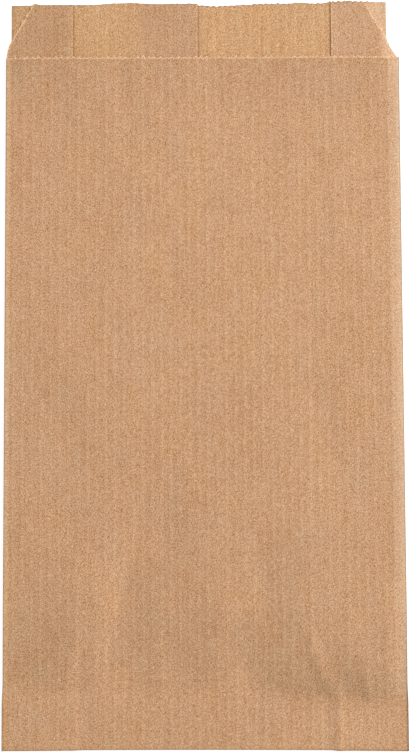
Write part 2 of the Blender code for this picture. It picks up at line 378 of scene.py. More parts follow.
@dataclass(frozen=True)
class LayerStack:
    """Heights of the middle of each layer above the ground, over the whole bag.

    Attributes:
        sizes: The bag's sizes.
        seam_margin: How far past the outer ply's edge the inner ply comes down to the ground.
        seam_ramp: Length over which the inner ply comes down.
        corner_ramp: Length over which the back comes down from the gusset's corner.
        flap_ramp: Length over which the layers come down past the flap's end.
        press_ramp: Length over which the layers spring open above the flap.
        drape_ramp: Length over which the pressed front comes down from a gusset's inner fold.
        drape_fade: Length over which that step fades out above the flap.
        swell: Rise of the front over the air in the bag.
        swell_ramp: Length over which it rises from each end.
        mouth_sag: Fall of the front towards the back at the mouth.
        sag_ramp: Length over which it falls.
        mouth_curl: Rise of the front's cut edge itself.
        curl_ramp: Length over which it curls up.
        loft_left: How far the left gusset has sprung open above the pressed bottom.
        loft_right: The same on the right.
        loft_start: How far below the flap's end it starts to spring open.
        loft_ramp: Length over which it springs open.
        loft_fall: Length over which it settles again, further up.
        crest: How far the pressed front stands up where it crosses the right gusset's inner fold.
        crest_width: Width of that ridge.
        touch: Height over which the front eases onto the layers below it.
        relief: Wrinkles of the front.
        cockle: The paper's waviness.
        open_share: Share of the gusset's depth over which its layers part, outwards.
        front_foot: Where the front starts to rise over a sprung gusset, as a share of its fold's place.
    """

    sizes: BagSizes
    seam_margin: float = 1.0 * MM
    seam_ramp: float = 3.0 * MM
    corner_ramp: float = 6.0 * MM
    flap_ramp: float = 4.0 * MM
    press_ramp: float = 26.0 * MM
    drape_ramp: float = 3.4 * MM
    drape_fade: float = 7.0 * MM
    swell: float = 0.85 * MM
    swell_ramp: float = 80.0 * MM
    mouth_sag: float = 0.35 * MM
    sag_ramp: float = 60.0 * MM
    mouth_curl: float = 0.55 * MM
    curl_ramp: float = 17.0 * MM
    loft_left: float = 0.35 * MM
    loft_right: float = 1.30 * MM
    loft_start: float = 0.5 * MM
    loft_ramp: float = 20.0 * MM
    loft_fall: float = 170.0 * MM
    crest: float = 0.20 * MM
    crest_width: float = 1.3 * MM
    touch: float = 0.04 * MM
    relief: tuple[Wrinkle, ...] = FRONT_RELIEF
    cockle: Cockle = Cockle()
    open_share: float = 0.7
    front_foot: float = 0.2

    def over_flap(self, v: Array) -> Array:
        """Give 1 where the flap lies under the back, easing to 0 past the flap's end."""
        return 1.0 - smooth((v - self.sizes.flap_end) / self.flap_ramp)

    def over_corner(self, x: Array) -> Array:
        """Give 1 where the gusset's corner lies under the back too, easing to 0 inwards."""
        foot = self.sizes.half - self.sizes.slant_reach - self.corner_ramp
        return smooth((np.abs(x) - foot) / self.corner_ramp)

    def step(self, x: Array, v: Array) -> Array:
        """Work out the step between loose layers, which lie pressed at the bottom and by the inner folds.

        Args:
            x: Places across the bag.
            v: Heights along it.

        Returns:
            The step at each place.
        """
        stock = self.sizes.stock
        opened = smooth((v - self.sizes.flap_end - self.flap_ramp) / self.press_ramp)
        width = self.sizes.gusset_depth * self.open_share
        outwards = smooth((np.abs(x) - self.sizes.inner_fold) / width)
        return mix(stock.pressed_step, stock.loose_step, opened * outwards)

    def loft(self, x: Array, v: Array, foot: float) -> Array:
        """Give how far a gusset has sprung open, like a wedge.

        Args:
            x: Places across the bag.
            v: Heights along it.
            foot: Distance from the middle where the wedge starts.

        Returns:
            The rise at each place.
        """
        above = v - self.sizes.flap_end + self.loft_start
        opening = np.clip(above / self.loft_ramp, 0.0, 1.0)
        sprung = opening * (2.0 - opening) * (1.0 - smooth((above - self.loft_ramp) / self.loft_fall))
        wedge = np.clip((np.abs(x) - foot) / (self.sizes.half - foot), 0.0, 1.0)
        return np.where(x > 0.0, self.loft_right, self.loft_left) * sprung * wedge

    def outer_ply(self, x: Array, v: Array) -> Array:
        """Give the height of the back's outer ply."""
        stock = self.sizes.stock
        return stock.ground_layer + stock.pressed_step * self.over_flap(v) * (1.0 + self.over_corner(x))

    def past_edge(self, x: Array) -> Array:
        """Give 1 past the outer ply's edge, where the inner ply lies on it, and 0 well left of it."""
        foot = self.sizes.outer_edge - self.seam_margin - self.seam_ramp
        return smooth((x - foot) / self.seam_ramp)

    def inner_ply(self, x: Array, v: Array) -> Array:
        """Give the height of the back's inner ply, which climbs on the outer one in the lap."""
        return self.outer_ply(x, v) + self.sizes.stock.pressed_step * self.past_edge(x)

    def gusset_back(self, x: Array, v: Array) -> Array:
        """Give the height of a gusset's back half."""
        return self.outer_ply(x, v) + self.step(x, v)

    def gusset_front(self, x: Array, v: Array) -> Array:
        """Give the height of a gusset's front half."""
        return self.outer_ply(x, v) + 2.0 * self.step(x, v) + self.loft(x, v, self.sizes.inner_fold)

    def drape(self, x: Array, v: Array) -> Array:
        """Work out how far the pressed front lies lower between the gussets than on them.

        Args:
            x: Places across the bag.
            v: Heights along it.

        Returns:
            The fall at each place.
        """
        foot = self.sizes.inner_fold - self.drape_ramp
        between = 1.0 - smooth((np.abs(x) - foot) / self.drape_ramp)
        pressed = 1.0 - smooth((v - self.sizes.flap_end) / self.drape_fade)
        ridge = np.exp(-(((x - self.sizes.inner_fold) / self.crest_width) ** 2))
        return (2.0 * self.sizes.stock.pressed_step * between - self.crest * ridge) * pressed

    def beneath_front(self, x: Array, v: Array) -> Array:
        """Work out the lowest height that the front can take, lying on the layers below it.

        Args:
            x: Places across the bag.
            v: Heights along it.

        Returns:
            The height at each place.
        """
        sizes, stock = self.sizes, self.sizes.stock
        lapped = self.past_edge(x) * (1.0 - smooth((x - sizes.seam_edge) / self.seam_ramp))
        on_gusset = smooth((np.abs(x) - sizes.inner_fold + self.drape_ramp) / self.drape_ramp)
        gusset = self.gusset_front(x, v) - self.outer_ply(x, v)
        return self.outer_ply(x, v) + stock.pressed_step * (1.0 + lapped) + gusset * on_gusset

    def front(self, x: Array, v: Array) -> Array:
        """Work out the height of the front, which bridges the gussets, swells and has wrinkled.

        Args:
            x: Places across the bag.
            v: Heights along it.

        Returns:
            The height at each place.
        """
        sizes, from_cut = self.sizes, self.sizes.front_cut - v
        edge = np.full_like(x, sizes.half)
        side = self.outer_ply(edge, v) + 3.0 * self.step(edge, v)
        side = side + self.loft(x, v, sizes.inner_fold * self.front_foot)
        bow = np.cos(math.pi / 2 * np.minimum(np.abs(x) / sizes.half, 1.0))
        swollen = smooth((v - sizes.flap_end) / self.swell_ramp)
        swollen = swollen * smooth(from_cut / self.swell_ramp)
        sagging = 1.0 - smooth(from_cut / self.sag_ramp)
        held = smooth((sizes.half - np.abs(x)) / self.corner_ramp)
        free = smooth((v - sizes.flap_end) / self.flap_ramp) * held
        wrinkled = sum(form.lift(x, v) for form in self.relief) * free
        cockled = self.cockle.lift(x, v) * smooth((v - sizes.flap_end) / self.press_ramp) * held
        curled = self.mouth_curl * np.clip(1.0 - from_cut / self.curl_ramp, 0.0, None) ** 2
        bowed = bow * (self.swell * swollen - self.mouth_sag * sagging) + curled * held
        lowest = self.beneath_front(x, v)
        clear = side + bowed + wrinkled + cockled - self.drape(x, v) - lowest
        return lowest + (clear + np.hypot(clear, self.touch)) / 2


@dataclass
class Panel:
    """A run of the sheet across the bag, from one fold line or edge to the next.

    Attributes:
        run: Which run it is.
        start: Place across the bag where it starts.
        end: Place where it ends.
        height: Gives its height from places x and v.
        web_start: Its start on the flat web.
    """

    run: Run
    start: float
    end: float
    height: Callable[[Array, Array], Array]
    web_start: float = 0.0

    @property
    def web_end(self) -> float:
        """Its end on the flat web."""
        return self.web_start + abs(self.end - self.start)

    @property
    def way(self) -> float:
        """1 where it runs to the right and -1 where it runs to the left."""
        return math.copysign(1.0, self.end - self.start)


@dataclass
class FoldedWeb:
    """Takes each point of the flat sheet to its place on the bag.

    Attributes:
        sizes: The bag's sizes.
        stack: Its layers' heights.
        crease_bow: How far the bottom crease bows up in the middle, where the stack is thinner.
        crease_skew: How much lower the crease lies for each length further right.
        bow_reach: Height along the bag at which that has faded out.
        spread: How much further each side fold stands out where it is pressed flat.
        spread_ramp: Length over which it draws in above the flap.
        panels: The runs of the sheet, in order.
    """

    sizes: BagSizes
    stack: LayerStack
    crease_bow: float = 0.25 * MM
    crease_skew: float = 0.0038
    bow_reach: float = 40.0 * MM
    spread: float = 0.22 * MM
    spread_ramp: float = 6.0 * MM
    panels: list[Panel] = field(init=False)

    def __post_init__(self) -> None:
        """Lay the panels out on the web, each after the last one's fold."""
        sizes, stack = self.sizes, self.stack
        half, inner = sizes.half, sizes.inner_fold
        self.panels = [
            Panel(Run.INNER_PLY, sizes.seam_edge, sizes.back_left, stack.inner_ply),
            Panel(Run.LEFT_GUSSET_BACK, sizes.back_left, -inner, stack.gusset_back),
            Panel(Run.LEFT_GUSSET_FRONT, -inner, -half, stack.gusset_front),
            Panel(Run.FRONT, -half, half, stack.front),
            Panel(Run.RIGHT_GUSSET_FRONT, half, sizes.right_fold, stack.gusset_front),
            Panel(Run.RIGHT_GUSSET_BACK, sizes.right_fold, sizes.back_right, stack.gusset_back),
            Panel(Run.OUTER_PLY, sizes.back_right, sizes.outer_edge, stack.outer_ply),
        ]
        for before, after in zip(self.panels, self.panels[1:]):
            after.web_start = before.web_end + sizes.fold_web

    @property
    def front(self) -> Panel:
        """The front panel."""
        return self.panels[Run.FRONT.value]

    def run_at(self, u: Array) -> Array:
        """Tell which run of the sheet each width u of the web is on.

        Args:
            u: Widths of the web.

        Returns:
            The runs' values.
        """
        starts = [panel.web_start for panel in self.panels[1:]]
        return np.searchsorted(starts, u, side="right")

    def fold_radius(self, place: int, v: Array) -> Array:
        """Work out the radius of the fold after a panel.

        Args:
            place: The panel's place in the order. Off either end there is no fold.
            v: Heights along the bag.

        Returns:
            The radius at each height.
        """
        if place < 0 or place + 1 == len(self.panels):
            return np.zeros_like(v)
        line = np.full_like(v, self.panels[place].end)
        return np.abs(self.panels[place + 1].height(line, v) - self.panels[place].height(line, v)) / 2

    def across(self, u: Array, v: Array) -> tuple[Array, Array]:
        """Find the places across the bag above the bottom wrap.

        Args:
            u: Widths of the web.
            v: Heights along it, none below 0.

        Returns:
            The places across, and the heights above the ground.
        """
        x, z = np.zeros_like(u), np.zeros_like(u)
        runs = self.run_at(u)
        for place, panel in enumerate(self.panels):
            last = place + 1 == len(self.panels)
            flat = (runs == place) & ((u <= panel.web_end) | last)
            start = panel.start + panel.way * self.fold_radius(place - 1, v[flat])
            end = panel.end - panel.way * self.fold_radius(place, v[flat])
            x[flat] = mix(start, end, (u[flat] - panel.web_start) / (panel.web_end - panel.web_start))
            z[flat] = panel.height(x[flat], v[flat])
            bent = (runs == place) & ~flat
            if bent.any():
                turn = math.pi * (u[bent] - panel.web_end) / self.sizes.fold_web
                line = np.full_like(turn, panel.end)
                x[bent] = line - panel.way * self.fold_radius(place, v[bent]) * (1.0 - np.sin(turn))
                low, high = panel.height(line, v[bent]), self.panels[place + 1].height(line, v[bent])
                z[bent] = mix(low, high, (1.0 - np.cos(turn)) / 2)
        return x, z

    def ribs(self, u: Array) -> Array:
        """Give the rise of the paper's ribs at widths u of the web."""
        stock = self.sizes.stock
        return stock.rib_relief * np.cos(2.0 * math.pi * u / stock.rib_pitch)

    def fold(self, u: Array, v: Array) -> Array:
        """Find the points of the bag.

        Args:
            u: Widths of the web.
            v: Heights along it.

        Returns:
            One row of three coordinates for each point.
        """
        sizes, ground = self.sizes, self.sizes.stock.ground_layer
        above = np.maximum(v, 0.0)
        x, z = self.across(u, above)
        bow = self.crease_bow * np.cos(math.pi / 2 * np.clip(x / sizes.half, -1.0, 1.0))
        bow = bow - self.crease_skew * x
        start = sizes.crease + bow * (1.0 - smooth(above / self.bow_reach))
        turn = math.pi * np.clip(-v / sizes.wrap_web, 0.0, 1.0)
        radius = (z - ground) / 2
        past = np.maximum(-v - sizes.wrap_web, 0.0)
        y = start + above - radius * np.sin(turn) + past
        height = np.where(v < 0.0, (z + ground) / 2 + radius * np.cos(turn), z)
        height = height + np.where(v > 0.0, self.ribs(u), 0.0)
        drawn_in = self.spread * smooth((above - sizes.flap_end) / self.spread_ramp)
        return np.column_stack([x * (1.0 - drawn_in / sizes.half), y, height])


@dataclass
class ToothedKnife:
    """The stepped knife that cuts the sheet from the web, and the edge that it leaves.

    Attributes:
        web: The folded web.
        pitch: Distance from tooth to tooth.
        crisp: Depth of the teeth on the front's cut and the slants, as a share of the usual one.
        worn_left: Share of it on the back's cut, left of the seam, and by the side folds.
        worn_right: The same, right of the seam.
        least: Smallest tooth as a share of the usual one.
        most: Largest tooth, likewise.
        knee_left: Power of the curve in which the left slant runs from the front to the knee.
        knee_right: The same on the right.
        frayed: Power by which a slant's hem of loose fibres is wider than a straight cut's.
        most_stretch: Largest widening of the hem.
        fray: How unevenly the fibres tear, outwards.
        rarity: Power by which large teeth are rarer than small ones.
        point: Power by which a tooth runs to a point.
        seed: Start of the random draws.
        NUDGE: Distance over which a slope is measured, to each side.
        FINE: Number of places at which the cut is followed.
        WANDER_LEFT: Millimetres across and of rise of the back's cut, left of the seam.
        WANDER_RIGHT: The same, right of the seam.
    """

    web: FoldedWeb
    pitch: float = 1.78 * MM
    crisp: float = 1.4
    worn_left: float = 0.25
    worn_right: float = 0.75
    least: float = 0.4
    most: float = 1.5
    knee_left: float = 0.45
    knee_right: float = 1.4
    frayed: float = 1.7
    most_stretch: float = 3.3
    fray: float = 0.07 * MM
    rarity: float = 1.5
    point: float = 1.5
    seed: int = SEED

    NUDGE = 0.2225 * MM
    FINE = 6000
    WANDER_LEFT = (
        (-58.0, -0.5), (-45.0, -0.3), (-33.5, -0.2), (-29.0, 0.1), (-22.0, 0.4), (-16.0, -0.05),
        (0.0, 0.05),
    )
    WANDER_RIGHT = (
        (-20.0, -0.4), (0.0, -0.55), (4.0, -1.0), (9.0, -0.6), (17.0, -0.25), (25.0, -0.15),
        (31.0, 0.25), (34.5, -0.35), (38.0, 0.25), (45.0, 0.5), (50.0, 0.3), (55.0, 0.1),
    )

    def by_side(self, u: Array, left: float | Array, right: float | Array) -> Array:
        """Give one number on the web's left half and another on its right half, parted at the front."""
        return np.where(u < self.web.front.web_start, left, right)

    def from_front(self, u: Array) -> Array:
        """Give the distance on the web from the front's side folds, past the fold itself."""
        front = self.web.front
        return np.maximum(front.web_start - u, u - front.web_end) - self.web.sizes.fold_web

    def on_back(self, u: Array) -> Array:
        """Give 1 on the back's part of the cut and 0 on the front's and on the slants."""
        return smooth((self.from_front(u) - self.reach(u)) / self.pitch)

    def reach(self, u: Array) -> Array:
        """Give the width of the slant on the side of the web that u is on."""
        sizes = self.web.sizes
        return self.by_side(u, sizes.slant_reach - sizes.slant_skew, sizes.slant_reach)

    def drop(self, u: Array) -> Array:
        """Work out how far the cut lies below the back's part of it.

        Args:
            u: Widths of the web.

        Returns:
            The drop at each width.
        """
        sizes, away = self.web.sizes, self.from_front(u)
        inset = self.by_side(u, sizes.back_inset_left, sizes.back_inset_right)
        bow = self.by_side(u, self.knee_left, self.knee_right)
        near = mix(sizes.lip, sizes.knee_drop, (np.clip(away, 0.0, inset) / inset) ** bow)
        far_share = np.clip((away - inset) / (self.reach(u) - inset), 0.0, 1.0)
        return np.where(away < inset, near, mix(sizes.knee_drop, 0.0, far_share))

    def wander(self, u: Array) -> Array:
        """Work out how far the back's cut strays from its straight line.

        Args:
            u: Widths of the web.

        Returns:
            The rise of the cut at each width.
        """
        x, _ = self.web.across(u, np.full_like(u, self.web.sizes.front_cut))
        strayed = (np.interp(x / MM, *zip(*line)) for line in (self.WANDER_LEFT, self.WANDER_RIGHT))
        return self.by_side(u, *strayed) * MM * self.on_back(u)

    def top(self, u: Array) -> Array:
        """Give the height v of the cut at the mouth, without its teeth."""
        return self.web.sizes.top_cut - self.drop(u) + self.wander(u)

    def bottom(self, u: Array) -> Array:
        """Give the height v of the lower cut, without its teeth."""
        return self.web.sizes.top_cut - self.drop(u) - self.web.sizes.cut_length

    def stretch(self, u: Array) -> Array:
        """Give how many times longer the hem beside the cut is, along v, where the cut slants."""
        slope = (self.drop(u + self.NUDGE) - self.drop(u - self.NUDGE)) / (2.0 * self.NUDGE)
        return np.minimum(np.hypot(1.0, slope) ** self.frayed, self.most_stretch)

    def depth(self, u: Array) -> Array:
        """Work out the depth of the teeth.

        Args:
            u: Widths of the web.

        Returns:
            The depth at each width.
        """
        sizes, away = self.web.sizes, self.from_front(u)
        worn = self.by_side(u, self.worn_left, self.worn_right)
        by_fold = (away > -self.pitch) & (away < sizes.back_inset_right)
        crisp = np.where(by_fold, self.worn_left, self.crisp)
        return sizes.tooth_depth * mix(crisp, worn, self.on_back(u))

    def teeth(self, u: Array, at_top: bool) -> tuple[Array, Array]:
        """Work out how the teeth and the torn fibres move points of a cut.

        Args:
            u: Widths of the web of points on the cut.
            at_top: Whether the cut is the one at the mouth.

        Returns:
            The shifts along u and along v.
        """
        fine = np.linspace(0.0, self.web.panels[-1].web_end, self.FINE)
        rise = np.gradient(-self.drop(fine), fine)
        path = np.concatenate([[0.0], np.cumsum(np.hypot(1.0, rise[1:]) * np.diff(fine))])
        place = np.interp(u, fine, path) / self.pitch
        tooth = np.floor(place).astype(int)
        draw = np.random.default_rng(self.seed + int(at_top))
        heights = mix(self.least, self.most, draw.random(tooth.max() + 2) ** self.rarity)
        wave = 1.0 - np.abs(2.0 * (place - tooth) - 1.0)
        out = self.depth(u) * heights[tooth] * wave**self.point + draw.uniform(0.0, self.fray, len(u))
        slope = np.interp(u, fine, rise)
        norm = np.hypot(1.0, slope)
        side = 1.0 if at_top else -1.0
        return -side * out * slope / norm, side * out / norm


@dataclass(frozen=True)
class ShadingPatch:
    """A darker or lighter patch painted on the paper as it lies on the bag: painted light and shade on the
    front and beside the lip's folds, and patches of tone on the gussets and plies.

    Attributes:
        runs: The runs of the sheet that have it.
        centre: Millimetres across from the middle and up from the crease.
        reach: Millimetres across and along to where it has faded to a third.
        change: Change of brightness in its middle, as a share of it.
    """

    runs: tuple[Run, ...]
    centre: tuple[float, float]
    reach: tuple[float, float]
    change: float

    def shade(self, run: Array, x: Array, v: Array) -> Array:
        """Work out the change of brightness.

        Args:
            run: Runs of the sheet.
            x: Places across the bag.
            v: Heights along it.

        Returns:
            The change at each place.
        """
        across = (x / MM - self.centre[0]) / self.reach[0]
        along = (v / MM - self.centre[1]) / self.reach[1]
        return self.change * on_runs(run, *self.runs) * np.exp(-(across**2) - along**2)


@dataclass(frozen=True)
class PaintedFoldLine:
    """A line of painted shade, or with a positive change painted highlight, along the bag beside a fold or an
    edge.

    Attributes:
        runs: The runs of the sheet that have it.
        place: Its place across the bag.
        width: Distance from it to where it has faded to a third.
        change: Change of brightness on it, as a share of it.
    """

    runs: tuple[Run, ...]
    place: float
    width: float
    change: float

    def shade(self, run: Array, x: Array) -> Array:
        """Give the change of brightness at points' runs and places x across the bag."""
        return self.change * on_runs(run, *self.runs) * np.exp(-(((x - self.place) / self.width) ** 2))


# Painted light and shade on the front: darker below the mouth and in a patch near it on the left, lighter on
# the pressed strip at the bottom right. On the lip, painted shade beside the left gusset's fold and the seam,
# and darker and lighter patches on the gussets and plies.
SHADING_PATCHES = (
    ShadingPatch(LEFT_GUSSET, centre=(-45.0, 219.0), reach=(10.0, 11.0), change=-0.09),
    ShadingPatch((Run.LEFT_GUSSET_BACK,), centre=(-57.0, 216.0), reach=(3.5, 14.0), change=0.07),
    ShadingPatch(RIGHT_GUSSET, centre=(46.0, 216.0), reach=(9.0, 20.0), change=0.01),
    ShadingPatch((Run.INNER_PLY,), centre=(-12.5, 223.0), reach=(5.0, 5.0), change=-0.06),
    ShadingPatch((Run.INNER_PLY,), centre=(-10.5, 217.0), reach=(10.0, 30.0), change=-0.04),
    ShadingPatch(BACK_PLIES, centre=(-37.5, 217.0), reach=(3.0, 30.0), change=-0.05),
    ShadingPatch((Run.OUTER_PLY,), centre=(0.0, 217.0), reach=(1.6, 30.0), change=-0.05),
    ShadingPatch((Run.OUTER_PLY,), centre=(4.0, 214.0), reach=(2.5, 6.0), change=0.06),
    ShadingPatch((Run.FRONT,), centre=(-48.0, 200.0), reach=(22.0, 26.0), change=-0.03),
    ShadingPatch((Run.FRONT,), centre=(0.0, 209.0), reach=(90.0, 40.0), change=-0.03),
    ShadingPatch((Run.FRONT,), centre=(42.0, 5.0), reach=(26.0, 9.0), change=0.05),
)


@dataclass
class PaperTone:
    """How light the paper is painted by what lies beneath it, as values from 0 to 1: painted light from the
    ground shining up through thin places and overhangs, and painted shade and highlights.

    Attributes:
        web: The folded web.
        edge: Length over which a tone comes in.
        near_glow: Glow of the right overhang next to the back's fold.
        far_glow: Glow of its outermost part.
        low_share: Share of these that is left next to the flap.
        glow_ramp: Length above the flap over which they reach their full strength.
        lip_glow: Glow of the right gusset's own overhang on the lip.
        lip_reach: How far inside the back's fold that starts.
        left_glow: Glow of the left overhang.
        corner_glow: Glow of the right gusset's corner at the mouth.
        gusset_glow: Glow of the right gusset on the lip.
        line: Width of the painted shade and highlight lines beside the folds on the lip.
        corner_through_light: How much of the single layer's colour, painted light from the ground, the left
            gusset's corner shows.
        gusset_through_light: The same for the rest of the left gusset on the lip.
        glow_power: Power of the rise of the right overhang's glow outwards.
        left_gusset_shade: Painted shade on the left gusset on the lip.
        wrap_shade: Painted shade on the paper that turns under at the bottom.
        wrap_ramp: Share of the bottom wrap over which that comes in.
        shading_patches: Patches of painted light and shade, and darker and lighter patches of tone.
    """

    web: FoldedWeb
    edge: float = 0.7 * MM
    near_glow: float = 0.22
    far_glow: float = 1.15
    low_share: float = 0.4
    glow_ramp: float = 50.0 * MM
    lip_glow: float = 0.70
    lip_reach: float = 0.9 * MM
    left_glow: float = 0.34
    corner_glow: float = 0.63
    gusset_glow: float = 0.13
    line: float = 0.19 * MM
    corner_through_light: float = 0.95
    gusset_through_light: float = 0.4
    glow_power: float = 1.8
    left_gusset_shade: float = 0.09
    wrap_shade: float = 0.40
    wrap_ramp: float = 0.3
    shading_patches: tuple[ShadingPatch, ...] = SHADING_PATCHES

    def past(self, distance: Array) -> Array:
        """Give 0 before a line and 1 past it, from the distance past it."""
        return smooth(distance / self.edge + 0.5)

    def single(self, run: Array, x: Array) -> Array:
        """Work out where the back is a single layer, which the ground shows through, painted lighter as the
        ground's light shining through it; the left gusset gets some of it too.

        Args:
            run: Runs of the sheet.
            x: Places across the bag.

        Returns:
            1 where there is one layer, and 0 elsewhere.
        """
        sizes = self.web.sizes
        between = smooth((sizes.inner_fold - np.abs(x)) / self.edge)
        lapped = self.past(x - sizes.outer_edge) * self.past(sizes.seam_edge - x)
        plies = on_runs(run, *BACK_PLIES) * between * (1.0 - lapped)
        corner = self.corner_through_light * on_runs(run, Run.LEFT_GUSSET_BACK)
        gusset = self.gusset_through_light * on_runs(run, Run.LEFT_GUSSET_FRONT)
        return plies + corner + gusset + on_runs(run, Run.FRONT) * self.past(sizes.back_left - x)

    def glow(self, run: Array, x: Array, v: Array) -> Array:
        """Work out the painted light where light from the ground comes up through the overhanging sides.

        Args:
            run: Runs of the sheet.
            x: Places across the bag.
            v: Heights along it.

        Returns:
            The strength of the glow.
        """
        sizes = self.web.sizes
        above = smooth((v - sizes.flap_end - self.edge) / self.web.stack.flap_ramp)
        above = above * mix(self.low_share, 1.0, smooth((v - sizes.flap_end) / self.glow_ramp))
        on_lip, in_corner = on_runs(run, Run.RIGHT_GUSSET_FRONT), on_runs(run, Run.RIGHT_GUSSET_BACK)
        outward = np.clip((x - sizes.back_right) / sizes.back_inset_right, 0.0, 1.0) ** self.glow_power
        right = mix(np.where(on_lip, self.lip_glow, self.near_glow), self.far_glow, outward)
        right = right * self.past(x - sizes.back_right + self.lip_reach * on_lip)
        left = self.left_glow * self.past(sizes.back_left - x)
        corner = smooth((x - sizes.half + sizes.slant_reach) / (2.0 * self.edge)) * in_corner
        return (right + left) * ~in_corner * above + self.corner_glow * corner + self.gusset_glow * on_lip

    def lines(self) -> tuple[PaintedFoldLine, ...]:
        """Give the lines of painted shade and painted highlight beside the folds and the seam on the lip, and
        those of painted shade on the side folds.

        Returns:
            The lines.
        """
        sizes, line, spread = self.web.sizes, self.line, self.web.spread
        left, right, seam = -sizes.inner_fold, sizes.right_fold, sizes.seam_edge
        gussets = (*LEFT_GUSSET, Run.RIGHT_GUSSET_FRONT)
        # Painted shade in the crevices beside the gussets' folds and the seam, painted highlights on the fold
        # crests and the inner ply's edge, and painted shade along the side folds and the back's right fold.
        return (
            PaintedFoldLine(BACK_PLIES, left + 0.5 * line, 1.3 * line, change=-1.0),
            PaintedFoldLine(BACK_PLIES, right - line, 2.0 * line, change=-0.22),
            PaintedFoldLine((Run.OUTER_PLY,), seam + line, 1.3 * line, change=-0.34),
            PaintedFoldLine((Run.INNER_PLY,), seam - line, line, change=0.20),
            PaintedFoldLine(gussets, left - line, 2.0 * line, change=0.20),
            PaintedFoldLine(gussets, right + line, line, change=0.22),
            PaintedFoldLine(tuple(Run), sizes.half - spread, 1.4 * line, change=-0.60),
            PaintedFoldLine(tuple(Run), spread - sizes.half, 1.4 * line, change=-0.25),
            PaintedFoldLine((*BACK_PLIES, Run.RIGHT_GUSSET_BACK), sizes.back_right - spread, line, change=-0.28),
        )

    def shade(self, run: Array, x: Array, v: Array) -> Array:
        """Work out the painted shade and painted light: how much darker or lighter than its colour the paper
        is painted.

        Args:
            run: Runs of the sheet.
            x: Places across the bag.
            v: Heights along it.

        Returns:
            The change of brightness, as a share of it.
        """
        change = sum(line.shade(run, x) for line in self.lines())
        change = change + sum(shading_patch.shade(run, x, v) for shading_patch in self.shading_patches)
        # Painted shade where the paper turns under at the bottom.
        under = smooth(-v / (self.wrap_ramp * self.web.sizes.wrap_web) - 0.5)
        # Painted shade over the left gusset on the lip.
        return change - self.wrap_shade * under - self.left_gusset_shade * on_runs(run, *LEFT_GUSSET)


@dataclass(frozen=True)
class Noise:
    """A noise over the web, of about 1 to each side of 0.

    Attributes:
        cell: Width and length of its cells.
        detail: Finer layers of noise on it.
        rough: Their strength.
        lean: Turn of the cells in the plane of the web, in degrees.
        shift: How far off on the web it is taken, so that no two are alike.
    """

    cell: tuple[float, float]
    detail: float = 0.0
    rough: float = 0.5
    lean: float = 0.0
    shift: tuple[float, float] = (0.0, 0.0)


class Desk:
    """Places nodes in a shader tree and wires them.

    Attributes:
        tree: The tree.
        TIP: Turns that set the noise's own grid aslant to the web, so that it doesn't show.
        SWING: How much the raw noise, of 0 to 1, is spread.
    """

    TIP = (0.61, 0.47, 0.83)
    SWING = 4.0

    def __init__(self, tree: bpy.types.NodeTree) -> None:
        """Take the tree to work on."""
        self.tree = tree

    def add(self, kind: str, inputs: dict | None = None, **settings: object) -> bpy.types.Node:
        """Place a node.

        Args:
            kind: The node's type, without its leading ShaderNode.
            inputs: Sockets to link or constants to set, by input name or index.
            settings: Properties of the node.

        Returns:
            The node.
        """
        node = self.tree.nodes.new("ShaderNode" + kind)
        for name, value in settings.items():
            setattr(node, name, value)
        for key, value in (inputs or {}).items():
            if isinstance(value, bpy.types.NodeSocket):
                self.tree.links.new(value, node.inputs[key])
            else:
                node.inputs[key].default_value = value
        return node

    def stored(self, name: str, output: str = "Fac") -> bpy.types.NodeSocket:
        """Give what the mesh stores under a name."""
        return self.add("Attribute", attribute_name=name).outputs[output]

    def math(self, operation: str, *values: object) -> bpy.types.NodeSocket:
        """Work on numbers and give the result."""
        return self.add("Math", dict(enumerate(values)), operation=operation).outputs[0]

    def vector(self, operation: str, *values: object) -> bpy.types.NodeSocket:
        """Work on vectors and give the result."""
        return self.add("VectorMath", dict(enumerate(values)), operation=operation).outputs[0]

    def times(self, vector: object, factor: bpy.types.NodeSocket) -> bpy.types.NodeSocket:
        """Give a vector or colour times a number."""
        return self.add("VectorMath", {0: vector, "Scale": factor}, operation="SCALE").outputs[0]

    def blend(self, share: bpy.types.NodeSocket, base: object, other: object) -> bpy.types.NodeSocket:
        """Give a colour that goes from base to other as share goes from 0 to 1."""
        return self.add("Mix", {0: share, 6: base, 7: other}, data_type="RGBA").outputs[2]

    def remap(self, value: bpy.types.NodeSocket, low: float, high: float) -> bpy.types.NodeSocket:
        """Give 0 at low, 1 at high and a smooth rise between them."""
        inputs = {"Value": value, "From Min": low, "From Max": high}
        return self.add("MapRange", inputs, interpolation_type="SMOOTHSTEP").outputs[0]

    def noise(self, place: bpy.types.NodeSocket, noise: Noise) -> bpy.types.NodeSocket:
        """Wire a noise.

        Args:
            place: The place on the web, in metres.
            noise: What the noise is like.

        Returns:
            Its value at the place.
        """
        if any(noise.shift):
            place = self.vector("ADD", place, (*noise.shift, 0.0))
        if noise.lean:
            turn = {"Vector": place, "Angle": math.radians(noise.lean)}
            place = self.add("VectorRotate", turn, rotation_type="Z_AXIS").outputs[0]
        cells = self.vector("MULTIPLY", place, (1.0 / noise.cell[0], 1.0 / noise.cell[1], 1.0))
        tipped = self.add("VectorRotate", {"Vector": cells, "Rotation": self.TIP}, rotation_type="EULER_XYZ")
        inputs = {"Vector": tipped.outputs[0], "Scale": 1.0, "Detail": noise.detail, "Roughness": noise.rough}
        raw = self.add("TexNoise", inputs).outputs[0]
        return self.math("MULTIPLY_ADD", raw, self.SWING, -self.SWING / 2)


